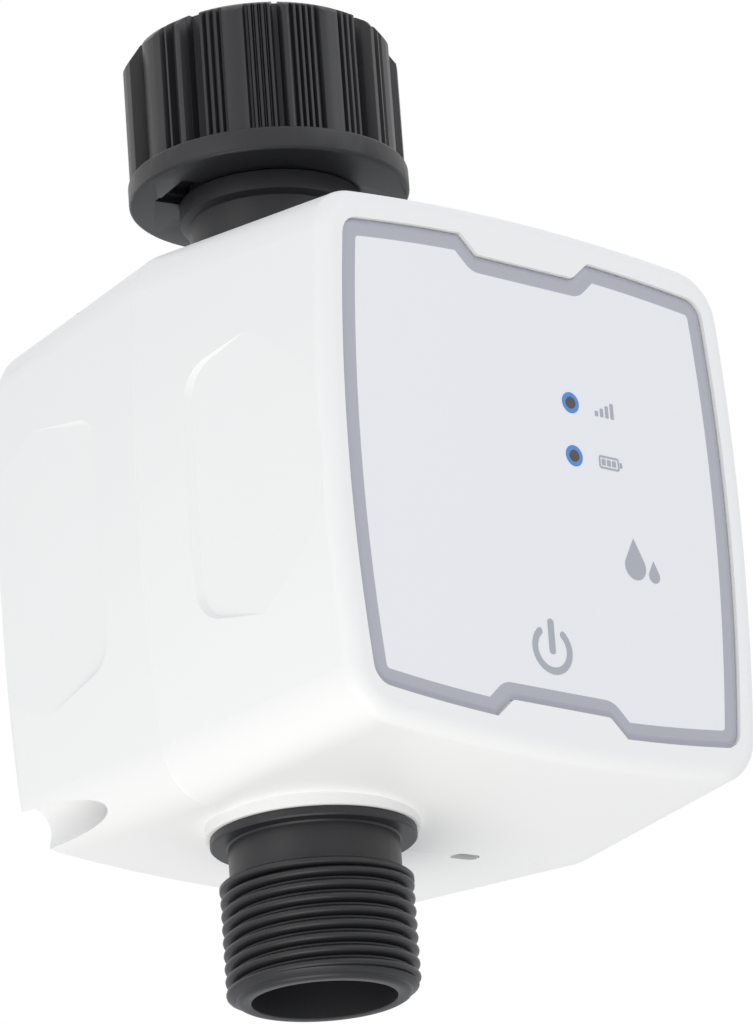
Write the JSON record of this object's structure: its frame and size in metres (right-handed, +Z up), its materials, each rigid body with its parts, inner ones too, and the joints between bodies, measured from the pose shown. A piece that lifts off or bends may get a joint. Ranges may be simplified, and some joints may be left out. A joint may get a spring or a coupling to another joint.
{
  "type": "irrigation timer",
  "caption": "Square white tap timer with a swivel ribbed inlet nut above, a threaded hose outlet below, a printed front panel and a geared ball valve inside.",
  "frame": {"origin": "centre of the inlet nut's open end, where the tap enters", "axes": "+Z up along the pipe, out of the inlet; -Y out of the front panel; +X to the right seen from the front"},
  "size_m": [0.082, 0.0729, 0.139],
  "materials": {
    "white_shell": "fine satin white ABS",
    "panel": "satin printed polycarbonate",
    "black_nylon": "satin black glass-filled nylon",
    "grey_plastic": "satin grey plastic",
    "gear_plastic": "satin natural acetal",
    "seat_plastic": "smooth white PTFE",
    "switch_black": "matt black plastic",
    "clear_plastic": "clear acrylic",
    "board": "green solder mask",
    "seal_rubber": "matt black nitrile rubber",
    "steel": "zinc-plated steel",
    "nickel": "nickel-plated steel",
    "cell_can": "satin printed sleeve",
    "chrome_ball": "polished chrome-plated brass",
    "brass": "machined brass"
  },
  "bodies": {
    "housing": {"front_shell": "white_shell", "rear_shell": "white_shell", "housing_gasket": "seal_rubber", "inlet_gland_seal": "seal_rubber", "outlet_gland_seal": "seal_rubber", "cover_seal": "seal_rubber", "outlet_seal": "seal_rubber", "tap_washer": "seal_rubber", "housing_screws": "steel", "valve_screws": "steel", "gearbox_screws": "steel", "mount_screws": "steel", "motor_screws": "steel", "board_screws": "steel", "gear_pins": "steel", "swivel_clip": "steel", "label_panel": "panel", "light_pipes": "clear_plastic", "battery_cell_1": "cell_can", "battery_cell_2": "cell_can", "battery_cell_3": "cell_can", "battery_cell_4": "cell_can", "end_contacts": "nickel", "bridge_contacts": "nickel", "valve_body": "black_nylon", "outlet_fitting": "black_nylon", "upper_seat": "seat_plastic", "lower_seat": "seat_plastic", "strainer": "grey_plastic", "gearbox_base": "grey_plastic", "gearbox_cover": "grey_plastic", "limit_switches": "switch_black", "motor": "nickel", "main_board": "board", "status_lamps": "clear_plastic", "tact_switch": "switch_black", "radio_module": "nickel", "controller_chip": "switch_black", "battery_socket": "gear_plastic", "motor_socket": "gear_plastic"},
    "nut": {"inlet_nut": "black_nylon"},
    "valve": {"output_gear": "gear_plastic", "ball": "chrome_ball", "stem": "brass", "stem_seals": "seal_rubber"},
    "second": {"second_gear": "gear_plastic"},
    "first": {"first_gear": "gear_plastic"},
    "rotor": {"motor_shaft": "steel", "motor_pinion": "brass"},
    "key": {"power_key": "grey_plastic", "tact_button": "switch_black"},
    "cover": {"battery_cover": "white_shell", "cover_screws": "steel"}
  },
  "joints": [
    {"name": "nut_swivel", "type": "hinge", "parent": "housing", "child": "nut", "pos_m": [0, 0, 0], "axis": [0, 0, 1], "continuous": true},
    {"name": "valve_turn", "type": "hinge", "parent": "housing", "child": "valve", "pos_m": [0, 0, -0.077], "axis": [0, 1, 0], "range_deg": [0, 90]},
    {"name": "second_spin", "type": "hinge", "parent": "housing", "child": "second", "pos_m": [0.02241, 0, -0.0684], "axis": [0, 1, 0], "range_deg": [-270, 0]},
    {"name": "first_spin", "type": "hinge", "parent": "housing", "child": "first", "pos_m": [0.03201, 0, -0.08503], "axis": [0, 1, 0], "range_deg": [0, 810]},
    {"name": "motor_spin", "type": "hinge", "parent": "housing", "child": "rotor", "pos_m": [0.02951, 0, -0.09921], "axis": [0, 1, 0], "range_deg": [-2430, 0]},
    {"name": "key_press", "type": "slide", "parent": "housing", "child": "key", "axis": [0, 1, 0], "range_m": [0, 0.00025], "stiffness_N_per_m": 3000, "springref_m": -0.0002},
    {"name": "cover_lift", "type": "slide", "parent": "housing", "child": "cover", "axis": [0, 1, 0], "range_m": [0, 0.03]}
  ],
  "couplings": [
    {"joint": "second_spin", "follows": "valve_turn", "ratio": -3},
    {"joint": "first_spin", "follows": "valve_turn", "ratio": 9},
    {"joint": "motor_spin", "follows": "valve_turn", "ratio": -27}
  ]
}
